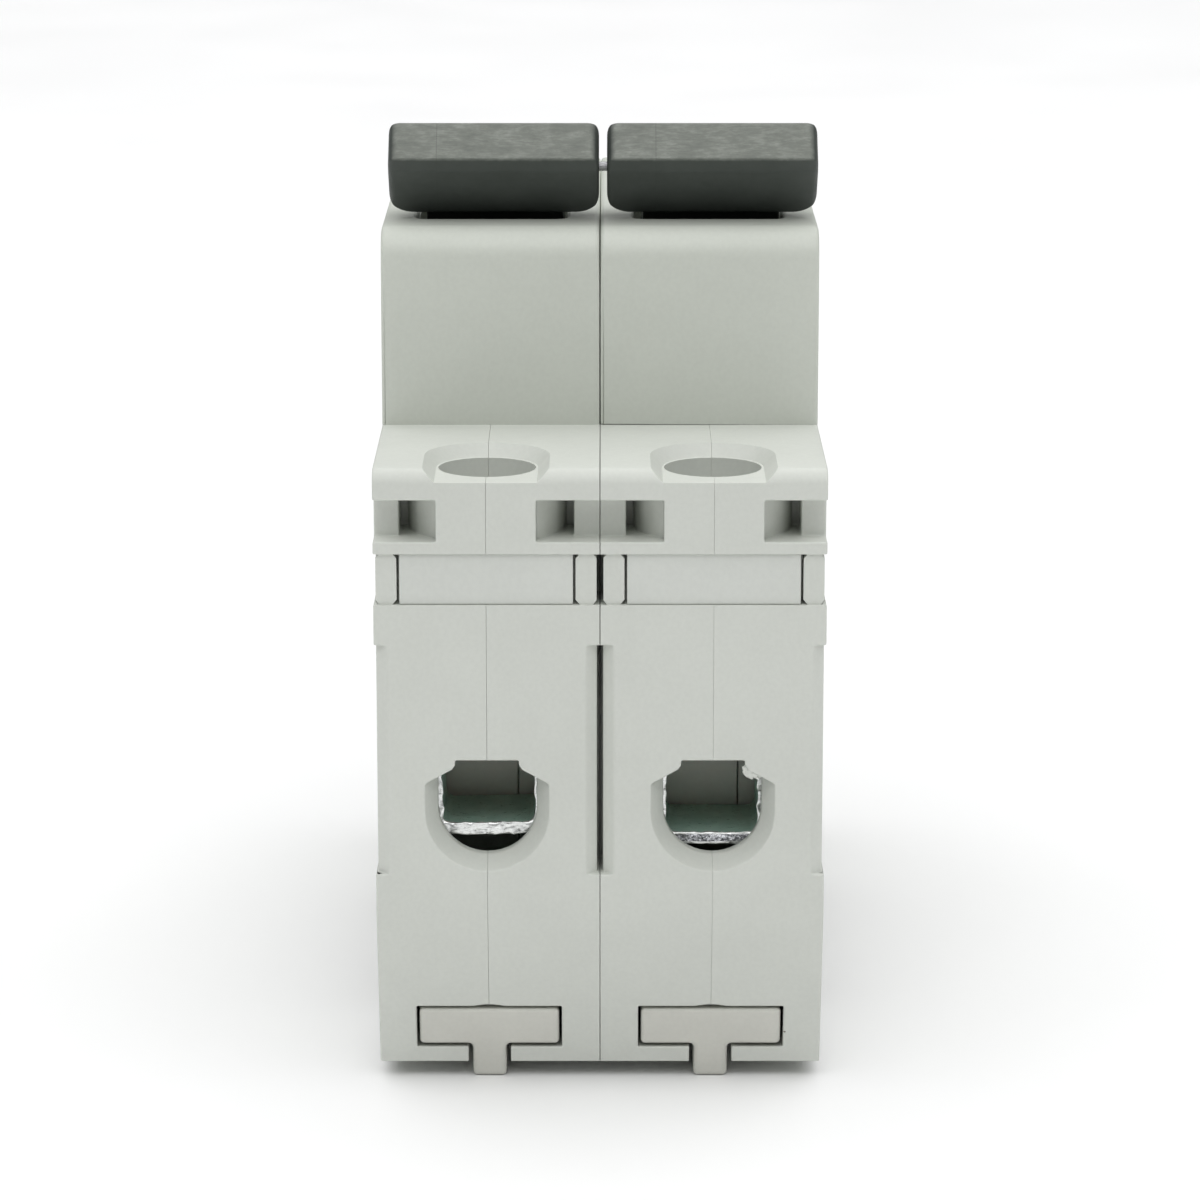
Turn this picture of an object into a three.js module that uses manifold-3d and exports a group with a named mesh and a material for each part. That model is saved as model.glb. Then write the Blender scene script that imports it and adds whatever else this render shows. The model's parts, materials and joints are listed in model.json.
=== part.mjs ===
// Two-pole miniature circuit breaker for a 35 mm top-hat rail, in millimetres, +Z up.
//
// X runs across the two poles, Y along the breaker (the load end with the rail clips is at -Y)
// and Z runs from the rail side up to the toggles. The origin is at the bottom centre of the
// whole breaker: z = 0 is the plane of the clip tabs, and the mouldings start TAB_DROP above it.
// Inside the assembly group every height is counted from the bottom of the mouldings.
//
// The breaker is shown switched off, with its terminals open.

import * as THREE from 'three';
import { mergeVertices } from 'three/addons/utils/BufferGeometryUtils.js';
import Module from 'manifold-3d';

const wasm = await Module();
wasm.setup();

// ---------------------------------------------------------------- driving dimensions

const POLE_PITCH = 17.75;         // centre to centre of the two poles
const POLE_HALF = 8.8;            // half width of one pole
const HALF_LENGTH = 41;           // end face to the breaker's middle
const SHOULDER = 49.5;            // 44 mm above the rail plane
const FRONT = 65.5;               // 60 mm above the rail plane
const RAIL_PLANE = 5.5;           // the mouldings reach this far behind the rail's front
const RAIL_HALF = 17.7;           // half width of the recess for the 35 mm rail
const SEAT_HALF = 15;             // half width of the raised seat that the rail's face meets
const SEAT_RISE = 0.35;
const HOOK_REACH = 1.4;           // fixed rail hook at the line end
const HOOK_TOP = 4.2;
const TAB_DROP = 1.35;            // clip tabs stand out below the mouldings
const FRONT_HALF = 22.5;          // half length of the raised part, for a 45 mm cut-out
const FRONT_ROUND = 2.4;
const WALL = 1.5;
const FLOOR = 7;                  // inside floor of the moulding
const NECK_HALF = 20.6;           // collar that the raised part is pushed over
const NECK_TOP = 58.5;
const GAP = 0.3;                  // running gap between neighbouring pieces
const SEAM = 0.06;                // half of the gap between the two halves of a pole
const PARTING = 2.25;             // the chamber's back parts this far beside the pole's middle

const LEAN_TOP = 13.44;           // below this level the end faces lean back
const LEAN = 4.3;                 // set-back of the leaning faces at the bottom
const EDGE_ROUND = 1.3;           // rounding between the shoulder and the end face

const WELL_Y = 34.8;              // terminal screws, from the middle
const WELL_R = 3.85;
const WELL_WALL = 2.35;
const WELL_SINK = 1.0;            // depth of the recess round each well
const WELL_SHELF = 4.0;           // half width of its floor
const WELL_RAMP = 0.95;           // and width of its sloping sides
const WELL_BOTTOM = 41.2;
const RECESS_STEPS = 24;
const ENTRY_R = 3.9;              // wire entry
const ENTRY_CENTRE = 22.1;
const ENTRY_TOP = 26.25;
const ENTRY_TOP_HALF = 2.5;
const ENTRY_SHOULDER = 1.45;      // the round part ends this far below the entry's top
const FUNNEL = 1.0;               // bevel round the wire entry
const FUNNEL_DEPTH = 1.7;
const END_WALL = 2.6;             // thickness of the end wall at the wire entry
const BULKHEAD = 29.5;            // far side of the terminal chamber
const BULKHEAD_WALL = 1.2;
const PASSAGE = 26.6;             // the conductor passes over the bulkhead from here up

const GROOVE_BOTTOM = 43.8;       // groove across the end face, under the shoulder
const GROOVE_TOP = 47.1;
const GROOVE_INNER = 3.9;
const GROOVE_OUTER = 6.85;
const GROOVE_DEPTH = 2.4;
const GROOVE_BACK = 34.6;         // and its pockets, beside the screw wells, reach in to here
const INSERT_HALF = 6.85;         // rectangular insert in each end face
const INSERT_BOTTOM = 38.85;
const INSERT_TOP = 42.75;
const INSERT_SET_BACK = 0.25;
const INSERT_THICK = 1.3;
const INSERT_SIDE_GAP = 0.12;
const INSERT_END_GAP = 0.08;
const INSERT_FLARE = 0.5;         // the side gaps widen at their ends
const WAIST = 0.19;               // each pole is narrower beside the inserts
const WAIST_FLARE = 0.32;
const NOTCH_BOTTOM = 16.95;       // relieved side edges of the end face
const NOTCH_TOP = 35.55;
const NOTCH_INNER = 7.75;
const NOTCH_DEPTH = 0.8;
const NOTCH_GAP = 0.15;

const CLIP_HALF = 5.6;            // T-shaped rail clip
const CLIP_BOTTOM = 1.68;
const CLIP_TOP = 4.97;
const CLIP_STEM_HALF = 1.35;
const CLIP_SLOT_HALF = 5.82;
const CLIP_NOSE = -16.3;
const CLIP_SLOT_BOTTOM = 1.41;
const CLIP_SLOT_TOP = 5.2;

const TOGGLE_AXIS = 53.6;         // height of the toggle's pivot
const TOGGLE_OFF = 45;            // the toggle leans this far to the load end when off, degrees
const TOGGLE_REACH = 26.3;        // pivot to the tip of the paddle
const PADDLE_ROOT = 19.4;
const TOGGLE_HALF = 8.55;
const TOGGLE_TIP = 3.7;           // thickness of the paddle at its tip
const TOGGLE_SHIFT = 0.25;        // the toggles sit a little to the right of their poles
const DRUM_R = 11.2;
const DRUM_SPAN = 220;            // angle of the drum behind the paddle, degrees
const DRUM_HALF = 5.6;
const TRUNNION_R = 2;
const TIE_OUT = 22.8;             // pivot to the pin that ties the two toggles
const TIE_R = 0.4;
const CRANK_R = 3.0;              // crank pin of the toggle's link
const CRANK_OFF = 305;            // its direction when off, degrees from +Y
const LINK_LENGTH = 13.57;
const LINK_ANGLE = 248.45;        // direction of the link from the crank pin, degrees from +Y

const ARM_Y = -6;                 // pivot of the moving contact arm
const ARM_Z = 31;
const ARM_CRANK = 8;              // pivot to the link's lower pin
const ARM_CRANK_OFF = 70;         // its direction when off, degrees from +Y

const PLATE_BOTTOM = 27;          // terminal plates, which the cages pull the wire up against
const PLATE_TOP = 28.4;
const PLATE_HALF = 3;
const PLATE_STEP = 0.5;           // the plates are thinner where they cross the bulkheads
const FIXED_Y = 1.7;              // fixed contact strip, beside the arc plates
const STRIP = 1.2;

const COIL_Z = 31.8;              // axis of the magnetic trip coil
const TRIP_Y = 8;                 // trip shaft
const TRIP_Z = 42;
const TRIP_SHAFT_R = 1.3;

const CAGE_HALF = 4.6;            // terminal cage
const CAGE_WALL = 0.95;
const CAGE_DEPTH = 8.3;
const CAGE_HEIGHT = 14;
const CAGE_REST = { left: 19.45, right: 18.65 };

const RIVETS = [[-33.5, 13], [33.5, 13], [-17.5, 37.5], [26.5, 42]];
const RIVET_R = 1.4;
const RIVET_HEAD_R = 2.5;

// ---------------------------------------------------------------- materials

const MATERIALS = {
  housing: [0xd6d9d3, 0.5, 0],
  cover: [0xc4c9c1, 0.5, 0],
  insert: [0xd8dbd5, 0.5, 0],
  clip: [0xc6c8bf, 0.45, 0],
  toggle: [0x4a4e4a, 0.55, 0],
  zinc: [0xb9bcb8, 0.35, 0.9],
  steel: [0x9a9c9d, 0.3, 0.95],
  copper: [0xb06a43, 0.35, 0.95],
  brass: [0xb99b5a, 0.35, 0.95],
  iron: [0x77797b, 0.4, 0.9],
  fibre: [0x8a8c8e, 0.5, 0.8],
  trip: [0x2f3e6b, 0.5, 0],
  spring: [0xa8aaac, 0.3, 0.95],
};

function material(name) {
  const [color, roughness, metalness] = MATERIALS[name];
  return new THREE.MeshStandardMaterial({ color, roughness, metalness });
}

// ---------------------------------------------------------------- solids

function solid(geometry) {
  const bare = geometry.clone();
  bare.deleteAttribute('normal');
  bare.deleteAttribute('uv');
  const welded = mergeVertices(bare, 1e-5);
  const vertProperties = new Float32Array(welded.attributes.position.array);
  const triVerts = new Uint32Array(welded.index.array);
  return new wasm.Manifold(new wasm.Mesh({ numProp: 3, vertProperties, triVerts }));
}

function geometryOf(body) {
  const mesh = body.getMesh();
  const geometry = new THREE.BufferGeometry();
  const stride = mesh.numProp;
  const count = mesh.vertProperties.length / stride;
  const positions = new Float32Array(count * 3);
  for (let i = 0; i < count; i += 1) {
    for (let k = 0; k < 3; k += 1) positions[3 * i + k] = mesh.vertProperties[stride * i + k];
  }
  geometry.setAttribute('position', new THREE.BufferAttribute(positions, 3));
  geometry.setIndex(new THREE.BufferAttribute(new Uint32Array(mesh.triVerts), 1));
  geometry.computeVertexNormals();
  return geometry;
}

// Limits may be given in either order, so that both ends of the breaker can share one formula.
function box(x0, x1, y0, y1, z0, z1) {
  const size = [x1 - x0, y1 - y0, z1 - z0].map(Math.abs);
  const geometry = new THREE.BoxGeometry(...size);
  geometry.translate((x0 + x1) / 2, (y0 + y1) / 2, (z0 + z1) / 2);
  return solid(geometry);
}

function extruded(shape, depth, basis, curveSegments = 12) {
  const geometry = new THREE.ExtrudeGeometry(shape, { depth, bevelEnabled: false, curveSegments });
  geometry.applyMatrix4(basis);
  return solid(geometry);
}

function axes(x, y, z, origin) {
  return new THREE.Matrix4().makeBasis(x, y, z).setPosition(origin);
}

const X = new THREE.Vector3(1, 0, 0);
const Y = new THREE.Vector3(0, 1, 0);
const Z = new THREE.Vector3(0, 0, 1);

// A shape drawn in Y and Z, running across the pole between xa and xb.
function across(shape, xa, xb, curveSegments) {
  const origin = new THREE.Vector3(Math.min(xa, xb), 0, 0);
  return extruded(shape, Math.abs(xb - xa), axes(Y, Z, X, origin), curveSegments);
}

// A shape drawn in X and Z, running along the pole between ya and yb.
function along(shape, ya, yb, curveSegments) {
  const back = Y.clone().negate();
  const origin = new THREE.Vector3(0, Math.max(ya, yb), 0);
  return extruded(shape, Math.abs(yb - ya), axes(X, Z, back, origin), curveSegments);
}

// A solid whose outline changes from one shape at depth 0 to another with as many points.
function tapered(near, far, depth, basis) {
  const rings = [near, far].map((shape) => shape.getPoints(12));
  if (THREE.ShapeUtils.isClockWise(rings[0])) rings.forEach((ring) => ring.reverse());
  const count = rings[0].length;
  const positions = rings.flatMap((ring, k) => ring.flatMap((p) => [p.x, p.y, k * depth]));
  const index = [];
  THREE.ShapeUtils.triangulateShape(rings[0], []).forEach(([a, b, c]) => index.push(a, c, b));
  THREE.ShapeUtils.triangulateShape(rings[1], [])
    .forEach((face) => index.push(...face.map((i) => i + count)));
  for (let i = 0; i < count; i += 1) {
    const next = (i + 1) % count;
    index.push(i, next, count + next, i, count + next, count + i);
  }
  const geometry = new THREE.BufferGeometry();
  geometry.setAttribute('position', new THREE.Float32BufferAttribute(positions, 3));
  geometry.setIndex(index);
  geometry.applyMatrix4(basis);
  return solid(geometry);
}

// A shape drawn in X and Y, standing from z0 to z1.
function upward(shape, z0, z1, curveSegments) {
  return extruded(shape, z1 - z0, axes(X, Y, Z, new THREE.Vector3(0, 0, z0)), curveSegments);
}

function outline(points) {
  return new THREE.Shape(points.map(([a, b]) => new THREE.Vector2(a, b)));
}

function disc(a, b, radius, from = 0, to = 2 * Math.PI) {
  const shape = new THREE.Shape();
  shape.absarc(a, b, radius, from, to, false);
  return shape;
}

function roundedRect(a0, a1, b0, b1, r) {
  const shape = new THREE.Shape();
  shape.absarc(a1 - r, b0 + r, r, -Math.PI / 2, 0, false);
  shape.absarc(a1 - r, b1 - r, r, 0, Math.PI / 2, false);
  shape.absarc(a0 + r, b1 - r, r, Math.PI / 2, Math.PI, false);
  shape.absarc(a0 + r, b0 + r, r, Math.PI, 1.5 * Math.PI, false);
  return shape;
}

function rodX(y, z, radius, x0, x1, segments = 8) {
  return across(disc(y, z, radius), x0, x1, segments);
}

function rodY(x, z, radius, y0, y1, segments = 8) {
  return along(disc(x, z, radius), y0, y1, segments);
}

function rodZ(x, y, radius, z0, z1, segments = 8) {
  return upward(disc(x, y, radius), z0, z1, segments);
}

function polar(radius, degrees) {
  const angle = THREE.MathUtils.degToRad(degrees);
  return [radius * Math.cos(angle), radius * Math.sin(angle)];
}

function union(solids) {
  return solids.reduce((all, one) => all.add(one));
}

// ---------------------------------------------------------------- housing of one pole

function leanAt(height) {
  return LEAN * Math.max(0, (LEAN_TOP - height) / LEAN_TOP);
}

function housingProfile() {
  const shape = new THREE.Shape();
  const foot = HALF_LENGTH - LEAN;
  const roundY = HALF_LENGTH - EDGE_ROUND;
  const roundZ = SHOULDER - EDGE_ROUND;
  const hook = RAIL_HALF - HOOK_REACH;
  const recess = RAIL_PLANE + SEAT_RISE;
  shape.moveTo(hook + 0.5, 0);
  shape.lineTo(foot, 0);
  shape.lineTo(HALF_LENGTH, LEAN_TOP);
  shape.absarc(roundY, roundZ, EDGE_ROUND, 0, Math.PI / 2, false);
  shape.absarc(-roundY, roundZ, EDGE_ROUND, Math.PI / 2, Math.PI, false);
  shape.lineTo(-HALF_LENGTH, LEAN_TOP);
  shape.lineTo(-foot, 0);
  shape.lineTo(-RAIL_HALF - 0.4, 0);
  shape.lineTo(-RAIL_HALF - 0.4, recess);
  shape.lineTo(-SEAT_HALF, recess);
  shape.lineTo(-SEAT_HALF, RAIL_PLANE);
  shape.lineTo(SEAT_HALF, RAIL_PLANE);
  shape.lineTo(SEAT_HALF, recess);
  shape.lineTo(RAIL_HALF, recess);
  shape.lineTo(RAIL_HALF, HOOK_TOP);
  shape.lineTo(hook, HOOK_TOP);
  shape.lineTo(hook, 0.5);
  return shape;
}

function neck() {
  return box(-7.1, 7.1, -NECK_HALF, NECK_HALF, SHOULDER - WALL, NECK_TOP);
}

function mechanismSpace() {
  const inner = POLE_HALF - WALL;
  const reach = BULKHEAD - BULKHEAD_WALL;
  const room = box(-inner, inner, -reach, reach, FLOOR, SHOULDER - WALL);
  const throat = box(-5.9, 5.9, 1.2 - NECK_HALF, NECK_HALF - 1.2, SHOULDER - 2 * WALL, NECK_TOP + 1);
  return room.add(throat);
}

// Chamber for the cage, its link to the mechanism, and the void round the screw well.
function terminalSpace(end) {
  const inner = POLE_HALF - WALL;
  const front = HALF_LENGTH - END_WALL;
  const chamber = outline([
    [end * BULKHEAD, FLOOR], [end * (front - leanAt(FLOOR)), FLOOR], [end * front, LEAN_TOP],
    [end * front, WELL_BOTTOM], [end * BULKHEAD, WELL_BOTTOM],
  ]);
  const passage = box(-inner, inner, end * (BULKHEAD - 2), end * (BULKHEAD + 0.5), FLOOR, WELL_BOTTOM);
  const aroundWell = box(-GROOVE_OUTER, GROOVE_OUTER, end * GROOVE_BACK, end * (HALF_LENGTH + 1),
    GROOVE_BOTTOM, GROOVE_TOP);
  return across(chamber, -inner, inner).add(passage).add(aroundWell);
}

// What stands in that void: the tube of the screw well and the flush middle of the end face.
function wellTube(end) {
  const tube = rodZ(0, end * WELL_Y, WELL_R + WELL_WALL, WELL_BOTTOM, SHOULDER - 1, 12);
  const face = end * HALF_LENGTH;
  return tube.add(box(-GROOVE_INNER, GROOVE_INNER, face - end * 1.4, face, WELL_BOTTOM, SHOULDER - 1));
}

// Outline of the recess round a screw well, which runs out through the rounded edge.
function recessShape(end, half) {
  const front = end * (HALF_LENGTH + 1);
  const points = [[half, front]];
  for (let i = 0; i <= RECESS_STEPS; i += 1) {
    const [a, b] = polar(half, 180 * i / RECESS_STEPS);
    points.push([a, end * (WELL_Y - b)]);
  }
  points.push([-half, front]);
  return outline(points);
}

function wellRecess(end) {
  const basis = axes(X, Y, Z, new THREE.Vector3(0, 0, SHOULDER - WELL_SINK));
  const mouth = recessShape(end, WELL_SHELF + WELL_RAMP);
  return tapered(recessShape(end, WELL_SHELF), mouth, WELL_SINK + 0.01, basis);
}

function entryShape(grow) {
  const r = ENTRY_R + grow;
  const side = ENTRY_TOP - ENTRY_SHOULDER - 0.5 * grow;
  const shape = new THREE.Shape();
  shape.absarc(0, ENTRY_CENTRE, r, Math.PI, 2 * Math.PI, false);
  shape.lineTo(r, side);
  shape.lineTo(ENTRY_TOP_HALF + 0.25, ENTRY_TOP - 0.75);
  shape.lineTo(ENTRY_TOP_HALF, ENTRY_TOP - 0.4);
  shape.lineTo(ENTRY_TOP_HALF, ENTRY_TOP);
  shape.lineTo(-ENTRY_TOP_HALF, ENTRY_TOP);
  shape.lineTo(-ENTRY_TOP_HALF, ENTRY_TOP - 0.4);
  shape.lineTo(-ENTRY_TOP_HALF - 0.25, ENTRY_TOP - 0.75);
  shape.lineTo(-r, side);
  return shape;
}

function wireEntry(end) {
  const beyond = 0.5;
  const mouth = entryShape(FUNNEL * (1 + beyond / FUNNEL_DEPTH));
  const depth = FUNNEL_DEPTH + beyond;
  const inward = Y.clone().multiplyScalar(-end);
  const sideways = X.clone().multiplyScalar(end);
  const basis = axes(sideways, Z, inward, new THREE.Vector3(0, end * (HALF_LENGTH + beyond), 0));
  const hole = along(entryShape(0), end * (HALF_LENGTH - END_WALL - 1), end * (HALF_LENGTH + 1), 12);
  return hole.add(tapered(mouth, entryShape(0), depth, basis));
}

// Bevelled side edge of the end face, a wire's width clear of the neighbouring pole.
function sideNotch(end, side) {
  const face = end * HALF_LENGTH;
  const flank = side * (POLE_HALF - NOTCH_GAP);
  const beyond = side * (POLE_HALF + 1);
  const bevel = outline([
    [side * NOTCH_INNER, face + end * 0.01], [flank, face - end * NOTCH_DEPTH],
    [flank, face - end * 5], [beyond, face - end * 5], [beyond, face + end],
    [side * NOTCH_INNER, face + end],
  ]);
  return upward(bevel, NOTCH_BOTTOM, NOTCH_TOP);
}

// A thin gap in the end face widens into a small triangle at its end.
function gapFlare(end, x, reach, level, up) {
  const face = end * HALF_LENGTH;
  const top = level + up * 1.3 * Math.abs(reach);
  return along(outline([[x, level], [x + reach, level], [x, top]]), face - end * 1.8, face + end);
}

// Flares of the gaps beside the insert and of the gap between the poles.
function gapFlares(end) {
  const insertEdge = INSERT_HALF + INSERT_SIDE_GAP - 0.05;
  const waistEdge = POLE_HALF - WAIST + 0.05;
  const flares = [];
  for (const side of [-1, 1]) {
    for (const [level, up] of [[INSERT_BOTTOM - INSERT_END_GAP, 1], [INSERT_TOP + INSERT_END_GAP, -1]]) {
      flares.push(gapFlare(end, side * insertEdge, side * INSERT_FLARE, level, up));
      flares.push(gapFlare(end, side * waistEdge, -side * WAIST_FLARE, level, up));
    }
  }
  return union(flares);
}

// Groove ends, insert pocket, waist and relieved side edges of one end face.
function endRelief(end) {
  const face = end * HALF_LENGTH;
  const out = face + end;
  const low = INSERT_BOTTOM - INSERT_END_GAP;
  const high = INSERT_TOP + INSERT_END_GAP;
  const pocket = INSERT_HALF + INSERT_SIDE_GAP;
  const beyond = POLE_HALF + 1;
  const cuts = [
    box(-pocket, pocket, face - end * 1.8, out, low, high),
    box(-beyond, beyond, face - end * INSERT_SET_BACK, out, low, high),
    gapFlares(end),
  ];
  for (const side of [-1, 1]) {
    const groove = side * (GROOVE_OUTER - 0.1);
    const waist = side * (POLE_HALF - WAIST);
    cuts.push(box(groove, side * beyond, face - end * GROOVE_DEPTH, out, GROOVE_BOTTOM, GROOVE_TOP));
    cuts.push(box(waist, side * beyond, face - end * 5, out, low, high));
    cuts.push(sideNotch(end, side));
  }
  return union(cuts);
}

function clipChannel() {
  const out = -HALF_LENGTH - 1;
  const bar = box(-CLIP_SLOT_HALF, CLIP_SLOT_HALF, out, -RAIL_HALF, CLIP_SLOT_BOTTOM, CLIP_SLOT_TOP);
  const stem = CLIP_STEM_HALF + 0.35;
  const scoop = disc(0, CLIP_SLOT_TOP - 4.85, 5, 0, Math.PI);
  return bar.add(box(-stem, stem, out, -RAIL_HALF, -1, CLIP_SLOT_BOTTOM + 0.5))
    .add(along(scoop, out, -RAIL_HALF, 24).intersect(box(-2, 2, -50, 0, CLIP_SLOT_BOTTOM, 9)));
}

function rivetBosses() {
  return union(RIVETS.map(([y, z]) => rodX(y, z, RIVET_R + 1.3, -8, 8, 5)));
}

function rivetHoles() {
  return union(RIVETS.map(([y, z]) => rodX(y, z, RIVET_R + GAP, -10, 10, 5)));
}

// The rivet heads lie below the outer side of the breaker.
function rivetSinks(outerSide) {
  const from = outerSide * (POLE_HALF - 1);
  return union(RIVETS.map(([y, z]) => rodX(y, z, RIVET_HEAD_R + 0.4, from, from + 2 * outerSide, 6)));
}

function pivotHoles() {
  const trunnion = rodX(0, TOGGLE_AXIS, TRUNNION_R + GAP, -7.2, 7.2, 6);
  const trip = rodX(TRIP_Y, TRIP_Z, TRIP_SHAFT_R + 0.35, -10, 10, 5);
  const arm = rodX(ARM_Y, ARM_Z, 1.2, -8.1, 8.1, 5);
  return trunnion.add(trip).add(arm);
}

// The back of each terminal chamber parts beside the pole's middle, so it is added to each half.
function bulkheads(xa, xb, rootX) {
  const walls = [-1, 1].map((end) => {
    const near = end * (BULKHEAD - BULKHEAD_WALL);
    const far = end * BULKHEAD;
    const root = box(xa, rootX, near, far, FLOOR - 0.5, FLOOR + 0.5);
    return root.add(box(xa, xb, near, far, FLOOR + 0.3, PASSAGE));
  });
  return union(walls);
}

function housingBody() {
  let body = across(housingProfile(), -POLE_HALF, POLE_HALF, 4).add(neck());
  body = body.subtract(mechanismSpace());
  for (const end of [-1, 1]) {
    body = body.subtract(terminalSpace(end)).add(wellTube(end));
    body = body.subtract(rodZ(0, end * WELL_Y, WELL_R, WELL_BOTTOM - 1, SHOULDER + 1, 12));
    body = body.subtract(wellRecess(end)).subtract(wireEntry(end)).subtract(endRelief(end));
  }
  body = body.add(rivetBosses()).subtract(rivetHoles());
  return body.subtract(pivotHoles()).subtract(clipChannel());
}

// One half of a pole, on its -X side or +X side. The rivet heads are on the breaker's outer side.
function housingHalf(outerSide, side) {
  let half = housingBody().intersect(box(side * SEAM, side * 12, -50, 50, -5, 70));
  if (side === outerSide) half = half.subtract(rivetSinks(outerSide));
  const inner = POLE_HALF - WALL + 0.1;
  const back = side < 0
    ? bulkheads(-inner, PARTING, -SEAM)
    : bulkheads(PARTING + 0.2, inner, inner);
  return half.add(back);
}

// ---------------------------------------------------------------- other plastic pieces

function frontCover() {
  const r = FRONT_ROUND;
  const top = FRONT - r;
  const shape = new THREE.Shape();
  shape.moveTo(-FRONT_HALF, SHOULDER + 0.05);
  shape.lineTo(FRONT_HALF, SHOULDER + 0.05);
  shape.absarc(FRONT_HALF - r, top, r, 0, Math.PI / 2, false);
  shape.absarc(-FRONT_HALF + r, top, r, Math.PI / 2, Math.PI, false);
  const outer = across(shape, -POLE_HALF, POLE_HALF, 6);
  const hollow = box(-7.35, 7.35, -21, 21, SHOULDER - 1, FRONT - 1.4);
  const slot = upward(roundedRect(-6.1, 6.1, -16.6, 13.6, 1), FRONT - 3, FRONT + 1, 3);
  return outer.subtract(hollow).subtract(slot);
}

function endInsert(end) {
  const face = end * (HALF_LENGTH - INSERT_SET_BACK);
  return box(-INSERT_HALF, INSERT_HALF, face - end * INSERT_THICK, face, INSERT_BOTTOM, INSERT_TOP);
}

// Its T-shaped end face is one plane, flush with the leaning end of the housing.
function railClip() {
  const leaning = (z) => -HALF_LENGTH + leanAt(z);
  const toe = -TAB_DROP + 0.4;
  const side = outline([
    [leaning(toe), toe], [leaning(0) + 0.5, -TAB_DROP], [leaning(0) + 7, -TAB_DROP],
    [leaning(0) + 9, CLIP_BOTTOM], [CLIP_NOSE, CLIP_BOTTOM], [CLIP_NOSE, 3.6],
    [CLIP_NOSE - 0.6, 4.2], [-RAIL_HALF - 0.2, 4.2], [-RAIL_HALF - 0.2, CLIP_TOP],
    [leaning(CLIP_TOP), CLIP_TOP],
  ]);
  const beside = [-1, 1].map((end) => box(
    end * CLIP_STEM_HALF, end * (CLIP_HALF + 1), -HALF_LENGTH, CLIP_NOSE - 1, -5, CLIP_BOTTOM));
  return across(side, -CLIP_HALF, CLIP_HALF).subtract(union(beside));
}

function drumShape() {
  const from = THREE.MathUtils.degToRad(90 - DRUM_SPAN / 2);
  const to = THREE.MathUtils.degToRad(90 + DRUM_SPAN / 2);
  const shape = disc(0, 0, DRUM_R, from, to);
  shape.lineTo(0, 0);
  return shape;
}

// Drawn upright round its pivot, with the paddle pointing up.
function toggle() {
  const half = TOGGLE_TIP / 2;
  const root = half + 0.7;
  const paddleLow = PADDLE_ROOT;
  const blade = outline([
    [-half, TOGGLE_REACH], [-root, paddleLow], [root, paddleLow], [half, TOGGLE_REACH],
  ]);
  const front = roundedRect(-TOGGLE_HALF, TOGGLE_HALF, paddleLow, TOGGLE_REACH, 1.5);
  const paddle = across(blade, -TOGGLE_HALF, TOGGLE_HALF)
    .intersect(along(front, -6, 6, 4));
  const stalk = box(-DRUM_HALF, DRUM_HALF, -root, root, 2, paddleLow + 1);
  const drum = across(drumShape(), -DRUM_HALF, DRUM_HALF, 14);
  const hub = rodX(0, 0, CRANK_R + 1.6, -DRUM_HALF, DRUM_HALF, 8);
  const trunnion = rodX(0, 0, TRUNNION_R, -7, 7, 8);
  const linkSlot = across(disc(0, 0, DRUM_R + 1, Math.PI, 2 * Math.PI), 1.3, 3.1, 6);
  const crank = polar(CRANK_R, CRANK_OFF - TOGGLE_OFF);
  return paddle.add(stalk).add(drum).add(hub).add(trunnion)
    .subtract(linkSlot)
    .subtract(across(disc(crank[0], crank[1], 0.95), 0, 5, 5))
    .subtract(rodX(0, TIE_OUT, TIE_R + GAP, -10, 10, 4));
}

function tripLever() {
  const bar = outline([
    [-23.4, 40.4], [TRIP_Y - 4, 40], [TRIP_Y, TRIP_Z - 1], [TRIP_Y, TRIP_Z + 1], [TRIP_Y - 4, 41.9],
    [-23.4, 41.9],
  ]);
  const down = outline([
    [TRIP_Y - 2, TRIP_Z - 0.8], [4.6, 39], [4.6, 30], [3, 30], [3, 40.6],
  ]);
  const hub = rodX(TRIP_Y, TRIP_Z, 2.3, 3.8, 5.5, 6);
  const pad = box(-1.8, 4.6, 3, 4.6, 30, 34);
  return across(bar, 3.8, 5.5).add(across(down, 3.8, 5.5)).add(hub).add(pad)
    .subtract(rodX(TRIP_Y, TRIP_Z, TRIP_SHAFT_R + GAP, 0, 9, 5));
}

// ---------------------------------------------------------------- terminals

function terminalCage(end) {
  const frame = roundedRect(-CAGE_HALF, CAGE_HALF, 0, CAGE_HEIGHT, 1.5);
  const inner = CAGE_HALF - CAGE_WALL;
  frame.holes.push(roundedRect(-inner, inner, CAGE_WALL, CAGE_HEIGHT - 1.8, 0.7));
  const back = BULKHEAD + 0.4;
  const thread = rodZ(0, end * WELL_Y, 2.8, CAGE_HEIGHT - 3, CAGE_HEIGHT + 1, 5);
  return along(frame, end * back, end * (back + CAGE_DEPTH), 3).subtract(thread);
}

function terminalScrew() {
  const shank = rodZ(0, 0, 2.5, 28.9, 41.6, 5);
  const head = rodZ(0, 0, 3.45, 41.5, 44.9, 7);
  const slot = box(-4, 4, -0.5, 0.5, 43.4, 46);
  const cross = box(-0.6, 0.6, -2.3, 2.3, 42.9, 46).add(box(-2.3, 2.3, -0.6, 0.6, 42.9, 46));
  return shank.add(head).subtract(slot).subtract(cross);
}

function terminalPlate(end, inner) {
  const step = BULKHEAD + 0.9;
  const tail = box(-PLATE_HALF, PLATE_HALF, end * inner, end * (step + 0.1),
    PLATE_BOTTOM + PLATE_STEP, PLATE_TOP);
  return tail.add(box(-PLATE_HALF, PLATE_HALF, end * step, end * 37.6, PLATE_BOTTOM, PLATE_TOP));
}

// ---------------------------------------------------------------- mechanism and contacts

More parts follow.
